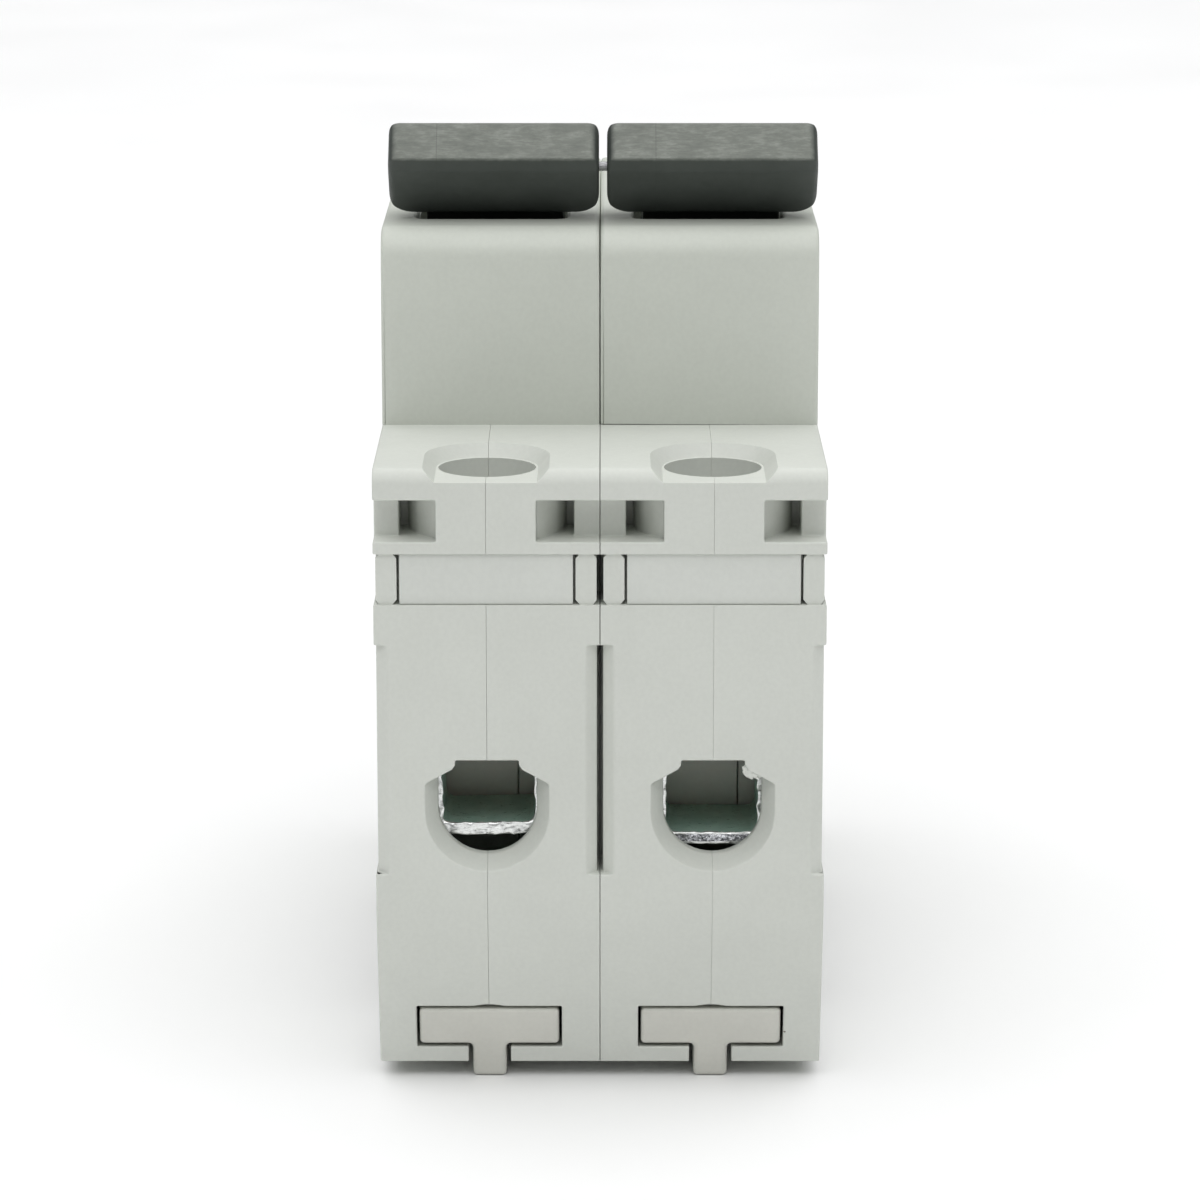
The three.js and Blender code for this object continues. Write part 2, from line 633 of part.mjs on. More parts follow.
function link() {
  const [dy, dz] = polar(LINK_LENGTH, LINK_ANGLE);
  const toPin = new THREE.Vector2(dy, dz).normalize();
  const wide = new THREE.Vector2(-toPin.y, toPin.x).multiplyScalar(0.7);
  const bar = outline([
    [wide.x, wide.y], [-wide.x, -wide.y], [dy - wide.x, dz - wide.y], [dy + wide.x, dz + wide.y],
  ]);
  const top = rodX(0, 0, 0.65, 1.7, 4.6, 4);
  const lower = rodX(dy, dz, 0.65, -2.2, 2.7, 4);
  return across(bar, 1.7, 2.7).add(top).add(lower);
}

// Drawn round its pivot, in the open position.
function contactArm() {
  const [by, bz] = polar(ARM_CRANK, ARM_CRANK_OFF);
  const ear = across(disc(by, bz, 3), -1.1, 1.1, 8);
  const web = across(outline([[-3, 0], [3, 0], [by + 2.9, bz], [by - 2.9, bz]]), -1.1, 1.1);
  const limb = across(outline([[-2.8, 0], [-5, -15.2], [-3.6, -17.2], [-1.9, -16.8], [2.6, 0]]), -1.1, 1.1);
  const hub = rodX(0, 0, 3.1, -2.6, 2.6, 6);
  const pad = across(outline([[-3.4, -16], [-1.2, -16.3], [-0.7, -13.2], [-2.9, -12.9]]), -2, 2);
  return ear.add(web).add(limb).add(hub).add(pad)
    .subtract(rodX(by, bz, 1.95, -3, 3, 6))
    .subtract(rodX(0, 0, 0.9 + GAP, -3, 3, 5));
}

function armSpring() {
  const ring = disc(ARM_Y, ARM_Z, 2.9);
  ring.holes.push(disc(ARM_Y, ARM_Z, 1.6));
  return across(ring, 2.9, 6.2, 6);
}

// A U of strip behind the arc plates, with the pad that the contact arm meets when switched on.
function fixedContact() {
  const near = FIXED_Y;
  const far = 25.6;
  const low = 9.6;
  const strip = outline([
    [near, 20], [near, low], [far, low], [far, 25.8], [far - STRIP, 25.8],
    [far - STRIP, low + STRIP], [near + STRIP, low + STRIP], [near + STRIP, 20],
  ]);
  const pad = outline([[0.75, 15.9], [near + 0.1, 15.9], [near + 0.1, 18.8], [-0.22, 18.8]]);
  return across(strip, -2.5, 2.5).add(across(pad, -2, 2));
}

function arcChute() {
  let stack = box(-6.6, -5.8, -27, -13.4, 8, 24).add(box(5.8, 6.6, -27, -13.4, 8, 24));
  for (let z = 8.8; z < 23.5; z += 1.8) {
    stack = stack.add(box(-6, 6, -26.6, -13.8, z, z + 0.8));
  }
  return stack.subtract(upward(outline([[-1.6, -10], [0, -19], [1.6, -10]]), 5, 26));
}

function coil() {
  const profile = [[3.3, -6], [5.2, -6], [5.2, 6], [3.3, 6], [3.3, -6]];
  const points = profile.map(([r, h]) => new THREE.Vector2(r, h));
  const geometry = new THREE.LatheGeometry(points, 24);
  geometry.translate(0, 15, 0);
  return solid(geometry);
}

function yoke() {
  const low = COIL_Z - 5;
  const top = COIL_Z + 5.6;
  const near = 7.2;
  const far = 22.8;
  const shape = outline([
    [near, low], [near + STRIP, low], [near + STRIP, top], [far - STRIP, top],
    [far - STRIP, low], [far, low], [far, top + STRIP], [near, top + STRIP],
  ]);
  return across(shape, -5, 5).subtract(rodY(0, COIL_Z, 2.4, 5, 25, 5));
}

function plunger() {
  return rodY(0, COIL_Z, 1.6, 6.5, 25, 6).add(rodY(0, COIL_Z, 2.4, 24.7, 26.4, 6));
}

function bimetal() {
  const strip = box(-2.4, 2.4, -25.3, -24.5, 28.7, 45.2);
  return strip.add(box(-2.4, 2.4, -25.3, -22.9, 28.7, 29.6));
}

function braid() {
  const route = new THREE.CatmullRomCurve3([
    new THREE.Vector3(0, -24.1, 31.6), new THREE.Vector3(0, -20.6, 29.4),
    new THREE.Vector3(0, -15.6, 27.6), new THREE.Vector3(0, -9.9, 28.6),
  ]);
  const options = { steps: 10, extrudePath: route, bevelEnabled: false, curveSegments: 2 };
  return solid(new THREE.ExtrudeGeometry(disc(0, 0, 1.1), options));
}

// ---------------------------------------------------------------- assembly

const breaker = new THREE.Group();
const assembly = new THREE.Group();
assembly.position.z = TAB_DROP;
breaker.add(assembly);

function place(parent, name, body, finish, position = [0, 0, 0]) {
  const mesh = new THREE.Mesh(geometryOf(body), material(finish));
  mesh.name = name;
  mesh.position.set(...position);
  parent.add(mesh);
  return mesh;
}

function terminalPieces(pole, name) {
  for (const [end, where] of [[-1, 'load'], [1, 'line']]) {
    place(pole, `${name}_${where}_cage`, terminalCage(end), 'zinc', [0, 0, CAGE_REST[name]]);
    place(pole, `${name}_${where}_screw`, terminalScrew(), 'zinc', [0, end * WELL_Y, 0]);
    place(pole, `${name}_${where}_end_insert`, endInsert(end), 'insert');
  }
  place(pole, `${name}_load_terminal_plate`, terminalPlate(-1, 22.6), 'copper');
  place(pole, `${name}_line_terminal_plate`, terminalPlate(1, 26.1), 'copper');
}

function mechanismPieces(pole, name) {
  const crank = polar(CRANK_R, CRANK_OFF);
  place(pole, `${name}_link`, link(), 'steel', [0, crank[0], TOGGLE_AXIS + crank[1]]);
  place(pole, `${name}_contact_arm`, contactArm(), 'copper', [0, ARM_Y, ARM_Z]);
  place(pole, `${name}_arm_pivot_pin`, rodX(ARM_Y, ARM_Z, 0.9, -8, 8, 5), 'steel');
  place(pole, `${name}_arm_spring`, armSpring(), 'spring');
  place(pole, `${name}_trip_lever`, tripLever(), 'trip');
  place(pole, `${name}_fixed_contact`, fixedContact(), 'copper');
  place(pole, `${name}_arc_chute`, arcChute(), 'fibre');
  place(pole, `${name}_trip_coil`, coil(), 'copper', [0, 0, COIL_Z]);
  place(pole, `${name}_trip_yoke`, yoke(), 'iron');
  place(pole, `${name}_trip_plunger`, plunger(), 'steel');
  place(pole, `${name}_bimetal_strip`, bimetal(), 'brass');
  place(pole, `${name}_braid`, braid(), 'copper');
}

function toggleFor(pole, name) {
  const pivot = new THREE.Group();
  pivot.position.set(TOGGLE_SHIFT, 0, TOGGLE_AXIS);
  pivot.rotation.x = THREE.MathUtils.degToRad(TOGGLE_OFF);
  pole.add(pivot);
  place(pivot, `${name}_toggle`, toggle(), 'toggle');
}

function buildPole(name, sideSign) {
  const pole = new THREE.Group();
  pole.position.x = (sideSign * POLE_PITCH) / 2;
  assembly.add(pole);
  const labels = { [sideSign]: 'outer', [-sideSign]: 'inner' };
  for (const side of [-1, 1]) {
    place(pole, `${name}_${labels[side]}_shell`, housingHalf(sideSign, side), 'housing');
  }
  place(pole, `${name}_front_cover`, frontCover(), 'cover');
  place(pole, `${name}_rail_clip`, railClip(), 'clip');
  toggleFor(pole, name);
  terminalPieces(pole, name);
  mechanismPieces(pole, name);
}

function rivet(y, z) {
  const reach = POLE_PITCH / 2 + POLE_HALF;
  const shank = rodX(y, z, RIVET_R, -reach + 0.5, reach - 0.5, 5);
  const heads = [-1, 1].map((side) => (
    rodX(y, z, RIVET_HEAD_R, side * (reach - 0.7), side * (reach - 0.2), 6)
  ));
  return shank.add(union(heads));
}

buildPole('left', -1);
buildPole('right', 1);

RIVETS.forEach(([y, z], i) => place(assembly, `rivet_${i + 1}`, rivet(y, z), 'zinc'));
const tripShaft = rodX(TRIP_Y, TRIP_Z, TRIP_SHAFT_R, -17.2, 17.2, 5);
place(assembly, 'trip_shaft', tripShaft, 'steel');
const tie = polar(TIE_OUT, 90 + TOGGLE_OFF);
const tiePin = rodX(tie[0], TOGGLE_AXIS + tie[1], TIE_R, -10, 10, 4);
place(assembly, 'toggle_tie_pin', tiePin, 'steel');

export default breaker;
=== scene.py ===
"""Looks of the two-pole miniature circuit breaker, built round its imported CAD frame.

Every length is in metres, in the frame of the CAD: X across the poles, Y from the load end to the
line end, Z up from the plane of the clip tabs.
"""

import json
import math

import bmesh
import bpy
from mathutils import Matrix, Vector, noise


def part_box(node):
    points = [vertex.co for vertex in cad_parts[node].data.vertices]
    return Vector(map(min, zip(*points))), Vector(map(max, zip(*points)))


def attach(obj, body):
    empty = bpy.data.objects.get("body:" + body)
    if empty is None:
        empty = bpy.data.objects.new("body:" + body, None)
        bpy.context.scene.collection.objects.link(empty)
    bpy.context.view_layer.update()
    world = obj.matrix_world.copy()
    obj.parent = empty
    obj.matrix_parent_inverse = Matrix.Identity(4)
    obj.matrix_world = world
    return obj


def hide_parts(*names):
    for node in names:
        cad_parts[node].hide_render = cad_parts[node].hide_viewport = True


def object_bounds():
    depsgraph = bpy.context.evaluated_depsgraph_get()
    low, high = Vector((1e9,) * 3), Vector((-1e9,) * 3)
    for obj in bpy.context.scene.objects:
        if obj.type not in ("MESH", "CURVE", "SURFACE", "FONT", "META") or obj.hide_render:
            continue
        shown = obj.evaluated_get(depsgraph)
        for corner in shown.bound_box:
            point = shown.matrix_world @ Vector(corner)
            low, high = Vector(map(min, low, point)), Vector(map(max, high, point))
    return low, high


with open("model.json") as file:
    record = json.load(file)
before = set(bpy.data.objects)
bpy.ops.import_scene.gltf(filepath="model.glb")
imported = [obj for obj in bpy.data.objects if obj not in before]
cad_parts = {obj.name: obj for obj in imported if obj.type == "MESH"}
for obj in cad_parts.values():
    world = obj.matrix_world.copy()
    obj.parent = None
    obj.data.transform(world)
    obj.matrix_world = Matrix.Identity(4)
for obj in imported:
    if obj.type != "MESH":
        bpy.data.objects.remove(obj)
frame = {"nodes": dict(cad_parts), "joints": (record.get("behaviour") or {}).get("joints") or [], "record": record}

MM = 0.001
CAD_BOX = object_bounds()
BODY_OF = {n: b for b, ns in frame["record"]["behaviour"]["bodies"].items() for n in ns}
COLLAR = 9 * MM                    # the shells' collar stands this far above their shoulders
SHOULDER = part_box("left_outer_shell")[1].z - COLLAR
POLE_MIDDLE = {s: sum(c.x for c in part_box(f"{s}_rail_clip")) / 2 for s in ("left", "right")}
INSERT_LEVELS = [c.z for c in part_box("left_load_end_insert")]
SLOT_OF = {s["node"]: s["material_slot"] for s in frame["record"]["subparts"]}
JOINTS = {j["name"]: j for j in frame["joints"]}

# The toggles at rest: the way out along a paddle, and the way towards its back.
LEAN = math.radians(45)
PADDLE_OUT = Vector((0, -math.sin(LEAN), math.cos(LEAN)))
PADDLE_BACK = Vector((0, math.cos(LEAN), math.sin(LEAN)))
PADDLE_HALF = 8.55 * MM
PADDLE_ROOT = 19.4 * MM
PADDLE_TIP = 26.3 * MM
PARTING_LINE = -4.6 * MM           # along each paddle, from its middle


# ---------------------------------------------------------------- camera, light and floor

SENSOR_MM = 36
LENS_MM = 141.06                 # with that sensor, the photograph's field of view
CAMERA_PITCH = 13.11             # degrees down
CAMERA_BACK = 356.5 * MM         # in front of the end face
CAMERA_UP = 72.73 * MM           # above the shoulders

# Place, aim, size and watts of the two lamps.
CEILING = ((0, 0.2, 1.6), (0, 0.2, 0), (4, 4), 73)
FRONT_PANEL = ((0, -1.5, 1.5), (0, 0, 0.035), (1.6, 1.0), 6.0)

ROOM_COLOUR = (0.97, 0.985, 1.0, 1)
ROOM_GLOW = 0.17
FLOOR_REACH = 4


def make_camera():
    end_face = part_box("left_outer_shell")[0].y
    data = bpy.data.cameras.new("camera")
    data.lens = LENS_MM
    data.sensor_width = SENSOR_MM
    data.clip_start = 0.01
    camera = bpy.data.objects.new("camera", data)
    bpy.context.scene.collection.objects.link(camera)
    camera.location = (0, end_face - CAMERA_BACK, SHOULDER + CAMERA_UP)
    camera.rotation_euler = (math.radians(90 - CAMERA_PITCH), 0, 0)
    bpy.context.scene.camera = camera


def area_light(name, place, aim, size, watts):
    data = bpy.data.lights.new(name, "AREA")
    data.shape = "RECTANGLE"
    data.size, data.size_y = size
    data.energy = watts
    lamp = bpy.data.objects.new(name, data)
    bpy.context.scene.collection.objects.link(lamp)
    lamp.location = place
    lamp.rotation_euler = (Vector(aim) - Vector(place)).to_track_quat("-Z", "Y").to_euler()


def make_studio():
    """A light tent: a wide ceiling, a softer front panel and a pale room all round."""
    area_light("ceiling", *CEILING)
    area_light("front_panel", *FRONT_PANEL)
    world = bpy.data.worlds.new("world")
    world.use_nodes = True
    background = world.node_tree.nodes["Background"]
    background.inputs["Color"].default_value = ROOM_COLOUR
    background.inputs["Strength"].default_value = ROOM_GLOW
    bpy.context.scene.world = world
    bpy.context.scene.view_settings.view_transform = "Standard"


def make_floor():
    bm = bmesh.new()
    bmesh.ops.create_grid(bm, x_segments=1, y_segments=1, size=FLOOR_REACH)
    floor = object_from(bm, "floor")
    floor.data.materials.append(floor_material())


# ---------------------------------------------------------------- meshes

WELD = 0.015 * MM                # CAD points closer than this are one point
SLIVER = 0.02 * MM               # edges shorter than this are closed up
CUT = 0.001 * MM                 # points this near a cutting plane lie on it
FLAT = math.radians(0.5)         # faces that differ less are joined
CORNER = math.radians(30)        # edges sharper than this are rounded
ALONGSIDE = 0.9                  # a tube that starts more upright takes X as its side
TUBE_TIP = 0.6                   # radius of a tube's end rings


def object_from(bm, name):
    bmesh.ops.recalc_face_normals(bm, faces=bm.faces)
    mesh = bpy.data.meshes.new(name)
    bm.to_mesh(mesh)
    bm.free()
    piece = bpy.data.objects.new(name, mesh)
    bpy.context.scene.collection.objects.link(piece)
    return piece


def freeze(piece):
    """The piece's modifiers are worked into its mesh."""
    bpy.context.view_layer.update()
    evaluated = piece.evaluated_get(bpy.context.evaluated_depsgraph_get())
    mesh = bpy.data.meshes.new_from_object(evaluated)
    piece.modifiers.clear()
    piece.data = mesh
    return piece


def smooth(piece, angle=40):
    mesh = piece.data
    mesh.polygons.foreach_set("use_smooth", [True] * len(mesh.polygons))
    mesh.set_sharp_from_angle(angle=math.radians(angle))
    return piece


def weigh_edges(bm, weight_of):
    """Bevel weights: weight_of(edge) for each sharp edge."""
    layer = bm.edges.layers.float.new("bevel_weight_edge")
    for edge in bm.edges:
        if len(edge.link_faces) == 2 and edge.calc_face_angle(0) > CORNER:
            edge[layer] = weight_of(edge)


def eased(piece, width, segments=2):
    """The weighted edges are rounded, and the shading follows the large faces."""
    bevel = piece.modifiers.new("edges", "BEVEL")
    bevel.width = width
    bevel.segments = segments
    bevel.limit_method = "WEIGHT"
    bevel.use_clamp_overlap = False
    bevel.miter_outer = "MITER_ARC"
    piece.modifiers.new("shading", "WEIGHTED_NORMAL").keep_sharp = True
    smooth(piece, 50)
    return held_in(freeze(piece))


def held_in(piece):
    """No vertex of the piece stands outside the CAD's box."""
    for vert in piece.data.vertices:
        vert.co = [min(max(c, low), high) for c, low, high in zip(vert.co, *CAD_BOX)]
    return piece


def cad_copy(node):
    """A CAD node's mesh, its flat faces joined up."""
    bm = bmesh.new()
    bm.from_mesh(frame["nodes"][node].data)
    bmesh.ops.remove_doubles(bm, verts=bm.verts, dist=WELD)
    bmesh.ops.dissolve_limit(bm, angle_limit=FLAT, verts=bm.verts, edges=bm.edges)
    bmesh.ops.dissolve_degenerate(bm, dist=SLIVER, edges=bm.edges)
    return bm


def cut_away(bm, place, normal, **side):
    """The mesh is cut by a plane, loses one side and is closed again."""
    everything = bm.verts[:] + bm.edges[:] + bm.faces[:]
    bmesh.ops.bisect_plane(bm, geom=everything, dist=CUT, plane_co=place, plane_no=normal, **side)
    bmesh.ops.holes_fill(bm, edges=[e for e in bm.edges if e.is_boundary], sides=0)


def stand_in(piece, *nodes):
    """The piece is shown for these nodes: on their body, in their slot."""
    piece.data.materials.clear()
    piece.data.materials.append(MATERIAL[SLOT_OF[nodes[0]]])
    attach(piece, BODY_OF[nodes[0]])
    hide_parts(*nodes)
    return piece


def refined(node, width, segments=2):
    bm = cad_copy(node)
    weigh_edges(bm, lambda edge: 1.0)
    return stand_in(eased(object_from(bm, node + "_piece"), width * MM, segments), node)


def smoothed_outline(corners, segments=5):
    """A closed outline with each corner (a, b, radius) rounded."""
    points = []
    count = len(corners)
    for i, (a, b, radius) in enumerate(corners):
        here = Vector((a, b))
        back = (Vector(corners[i - 1][:2]) - here).normalized()
        on = (Vector(corners[(i + 1) % count][:2]) - here).normalized()
        half = back.angle(on) / 2
        reach = radius / math.tan(half)
        centre = here + (back + on).normalized() * radius / math.sin(half)
        start, end = here + back * reach - centre, here + on * reach - centre
        for k in range(segments + 1):
            step = start.lerp(end, k / segments).normalized() * radius
            points.append(centre + step)
    return points


def skin(bm, rings, caps=True, closed=False):
    """Quads between rings of the same number of points."""
    rows = [[bm.verts.new(p) for p in ring] for ring in rings]
    pairs = list(zip(rows, rows[1:])) + ([(rows[-1], rows[0])] if closed else [])
    for near, far in pairs:
        for i in range(len(near)):
            j = (i + 1) % len(near)
            bm.faces.new((near[i], near[j], far[j], far[i]))
    if caps and not closed:
        bm.faces.new(rows[0])
        bm.faces.new(rows[-1])


def tube(bm, path, radius, sides=10):
    """A round wire along a path, ended with rounded tips."""
    rings = []
    level = abs((path[1] - path[0]).normalized().z) < ALONGSIDE
    side = Vector((0, 0, 1)) if level else Vector((1, 0, 0))
    for i, point in enumerate(path):
        ahead = (path[min(i + 1, len(path) - 1)] - path[max(i - 1, 0)]).normalized()
        side = (side - ahead * side.dot(ahead)).normalized()
        up = ahead.cross(side)
        size = radius * (TUBE_TIP if i in (0, len(path) - 1) else 1.0)
        turns = [2 * math.pi * k / sides for k in range(sides)]
        rings.append([point + (side * math.cos(t) + up * math.sin(t)) * size for t in turns])
    skin(bm, rings)


def helix(centre, axis, radius, length, turns, steps=22):
    """Points round an axis, from one end of the coil to the other."""
    axis = Vector(axis)
    side = axis.orthogonal().normalized()
    up = axis.cross(side)
    points = []
    for i in range(int(turns * steps) + 1):
        angle = 2 * math.pi * i / steps
        along = (i / (turns * steps) - 0.5) * length
        outward = side * math.cos(angle) + up * math.sin(angle)
        points.append(centre + axis * along + outward * radius)
    return points


def middle_of(node):
    low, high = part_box(node)
    return (Vector(low) + Vector(high)) / 2, Vector(high) - Vector(low)


# ---------------------------------------------------------------- materials

class Shader:
    """A small helper that adds nodes to one material."""

    def __init__(self, name):
        self.material = bpy.data.materials.new(name)
        self.material.use_nodes = True
        self.tree = self.material.node_tree
        self.bsdf = self.tree.nodes["Principled BSDF"]
        self.place = self.node("ShaderNodeTexCoord").outputs["Object"]

    def node(self, kind, **settings):
        made = self.tree.nodes.new(kind)
        for key, value in settings.items():
            setattr(made, key, value)
        return made

    def link(self, source, target):
        self.tree.links.new(source, target)

    def noise(self, size, detail=3.0, rough=0.5, stretch=(1, 1, 1)):
        """Noise whose features are about size across."""
        mapping = self.node("ShaderNodeMapping")
        mapping.inputs["Scale"].default_value = [s / size for s in stretch]
        texture = self.node("ShaderNodeTexNoise")
        texture.inputs["Scale"].default_value = 1.0
        texture.inputs["Detail"].default_value = detail
        texture.inputs["Roughness"].default_value = rough
        self.link(self.place, mapping.inputs["Vector"])
        self.link(mapping.outputs["Vector"], texture.inputs["Vector"])
        return texture.outputs["Fac"]

    def ramp(self, factor, stops):
        """Colour or value stops, each (position, value)."""
        ramp = self.node("ShaderNodeValToRGB")
        elements = ramp.color_ramp.elements
        while len(elements) < len(stops):
            elements.new(0.5)
        for element, (position, value) in zip(elements, stops):
            colour = value if isinstance(value, tuple) else (value, value, value)
            element.position = position
            element.color = (*colour, 1)
        self.link(factor, ramp.inputs["Fac"])
        return ramp.outputs["Color"]

    def math(self, kind, a, b=None):
        made = self.node("ShaderNodeMath", operation=kind)
        for socket, value in zip(made.inputs, (a, b)):
            if value is None:
                continue
            if isinstance(value, (int, float)):
                socket.default_value = value
            else:
                self.link(value, socket)
        return made.outputs["Value"]

    def mix(self, factor, a, b, kind="MIX"):
        made = self.node("ShaderNodeMix", data_type="RGBA", blend_type=kind)
        sockets = [s for s in made.inputs if s.type == "RGBA"]
        if isinstance(factor, (int, float)):
            made.inputs["Factor"].default_value = factor
        else:
            self.link(factor, made.inputs["Factor"])
        for socket, value in zip(sockets, (a, b)):
            if isinstance(value, tuple):
                socket.default_value = (*value, 1)
            else:
                self.link(value, socket)
        return [s for s in made.outputs if s.type == "RGBA"][0]

    def bump(self, height, distance, strength=1.0, below=None):
        made = self.node("ShaderNodeBump")
        made.inputs["Strength"].default_value = strength
        made.inputs["Distance"].default_value = distance
        self.link(height, made.inputs["Height"])
        if below is not None:
            self.link(below, made.inputs["Normal"])
        return made.outputs["Normal"]

    def set(self, **sockets):
        names = {"colour": "Base Color", "roughness": "Roughness", "normal": "Normal",
                 "metallic": "Metallic", "specular": "Specular IOR Level"}
        for key, value in sockets.items():
            socket = self.bsdf.inputs[names[key]]
            if isinstance(value, (int, float)):
                socket.default_value = value
            elif isinstance(value, tuple):
                socket.default_value = (*value, 1)
            else:
                self.link(value, socket)
        return self.material


def srgb(r, g, b):
    """A colour given as 0-255 screen values."""
    def linear(c):
        c /= 255
        return c / 12.92 if c <= 0.04045 else ((c + 0.055) / 1.055) ** 2.4
    return (linear(r), linear(g), linear(b))


def shade(colour, k):
    return tuple(c * k for c in colour)


def moulded_plastic(name, colour, roughness=0.48, mottle=0.03, specks=True):
    """Spark-eroded moulded plastic: a fine satin grain, faint clouding and a few dark specks."""
    s = Shader(name)
    cloud = s.noise(9 * MM, 4, 0.6)
    base = s.ramp(cloud, [(0.3, shade(colour, 1 - mottle)), (0.7, shade(colour, 1 + mottle / 2))])
    grain = s.noise(0.35 * MM, 2, 0.5)
    base = s.mix(0.06, base, s.ramp(grain, [(0.35, 0.55), (0.65, 1.0)]), "MULTIPLY")
    if specks:
        base = s.mix(speck_mask(s), base, srgb(92, 88, 80))
    rough = s.ramp(s.noise(1.6 * MM, 3, 0.6), [(0.3, roughness - 0.05), (0.7, roughness + 0.06)])
    fine = s.bump(s.noise(0.12 * MM, 2, 0.55), 0.004 * MM, 0.5)
    normal = s.bump(s.noise(3.5 * MM, 2, 0.5), 0.02 * MM, 0.25, fine)
    return s.set(colour=base, roughness=rough, normal=normal, specular=0.45)


SPECK_CELLS = (110, 110, 110)    # cells to the metre, with a speck in most of them
SPECK_RADIUS = 0.014             # in cells
SPECK_FREE = 0.3                 # this share of the cells has none


def speck_mask(s):
    """Sparse dark dots a quarter of a millimetre across: dust moulded into the plastic."""
    mapping = s.node("ShaderNodeMapping")
    mapping.inputs["Scale"].default_value = SPECK_CELLS
    cells = s.node("ShaderNodeTexVoronoi", feature="F1")
    cells.inputs["Scale"].default_value = 1.0
    s.link(s.place, mapping.inputs["Vector"])
    s.link(mapping.outputs["Vector"], cells.inputs["Vector"])
    near = s.math("LESS_THAN", cells.outputs["Distance"], SPECK_RADIUS)
    split = s.node("ShaderNodeSeparateColor")
    s.link(cells.outputs["Color"], split.inputs["Color"])
    return s.math("MULTIPLY", near, s.math("GREATER_THAN", split.outputs["Red"], SPECK_FREE))


def toggle_plastic(name):
    """Charcoal plastic. Its tip face carries a painted sheen of the lamps in pale grey, streaked like scratches.
    """
    s = Shader(name)
    dark = s.ramp(s.noise(4 * MM, 4, 0.6), [(0.3, srgb(60, 65, 61)), (0.7, srgb(67, 72, 68))])
    broad_streak = s.noise(1.1 * MM, 5, 0.65, (0.55, 1, 1))
    fine_streak = s.noise(0.3 * MM, 4, 0.7, (0.35, 1.6, 1.6))
    streaks = s.math("ADD", s.math("MULTIPLY", broad_streak, 0.55), s.math("MULTIPLY", fine_streak, 0.45))
    # Painted sheen: the tip face, which faces the lamps, is coloured pale grey with streaks in it.
    sheen_and_scuffs = s.ramp(streaks, [(0.36, srgb(102, 106, 100)), (0.5, srgb(115, 119, 112)),
                         (0.66, srgb(138, 142, 135))])
    base = s.mix(tip_mask(s), dark, sheen_and_scuffs)
    base = s.mix(parting_mask(s), base, srgb(58, 62, 58))
    rough = s.ramp(s.noise(1.2 * MM, 3, 0.6), [(0.3, 0.46), (0.7, 0.6)])
    fine = s.bump(s.noise(0.15 * MM, 3, 0.6), 0.005 * MM, 0.6)
    scratches = s.bump(fine_streak, 0.01 * MM, 0.35, fine)
    return s.set(colour=base, roughness=rough, normal=scratches, specular=0.35)


SHEEN_DEPTH = 0.22 * MM           # the painted sheen reaches this far back from the tips
SHEEN_FADE = 0.3 * MM             # and fades in over this much


def tip_mask(s):
    """1 on the end face of the paddles, by the distance out along a paddle at rest: where the pale painted sheen
    goes.
    """
    pivot = Vector(JOINTS["toggles_switch"]["pos_m"])
    out = s.node("ShaderNodeVectorMath", operation="DOT_PRODUCT")
    s.link(s.place, out.inputs[0])
    out.inputs[1].default_value = PADDLE_OUT
    raggedness = s.math("MULTIPLY", s.noise(0.5 * MM, 3), 0.16 * MM)
    ragged = s.math("ADD", out.outputs["Value"], raggedness)
    past = s.math("SUBTRACT", ragged, pivot.dot(PADDLE_OUT) + PADDLE_TIP - SHEEN_DEPTH)
    return s.ramp(s.math("DIVIDE", past, SHEEN_FADE), [(0.0, 0.0), (0.9, 1.0)])


LINE_HALF = 0.03 * MM            # half the parting line's width
LINE_DEPTH = 0.35                # how far it darkens the plastic


def parting_mask(s):
    """A hair-thin moulding line across each paddle."""
    along = s.node("ShaderNodeSeparateXYZ")
    s.link(s.place, along.inputs[0])
    masks = []
    for side in ("left", "right"):
        line = middle_of(f"{side}_toggle")[0].x + PARTING_LINE
        off = s.math("ABSOLUTE", s.math("SUBTRACT", along.outputs["X"], line))
        masks.append(s.math("LESS_THAN", off, LINE_HALF))
    return s.math("MULTIPLY", s.math("ADD", *masks), LINE_DEPTH)


def metal(name, colour, roughness=0.32, brush=(1, 1, 1), stain=0.25):
    """Plated or rolled metal with a rolling grain and patches of dulled plating."""
    s = Shader(name)
    patch = s.noise(1.5 * MM, 5, 0.65)
    base = s.ramp(patch, [(0.3, shade(colour, 1 - stain)), (0.7, colour)])
    grain = s.noise(0.12 * MM, 3, 0.6, brush)
    rough = s.ramp(grain, [(0.3, roughness - 0.08), (0.7, roughness + 0.14)])
    normal = s.bump(grain, 0.006 * MM, 0.6)
    return s.set(colour=base, roughness=rough, normal=normal, metallic=1.0)


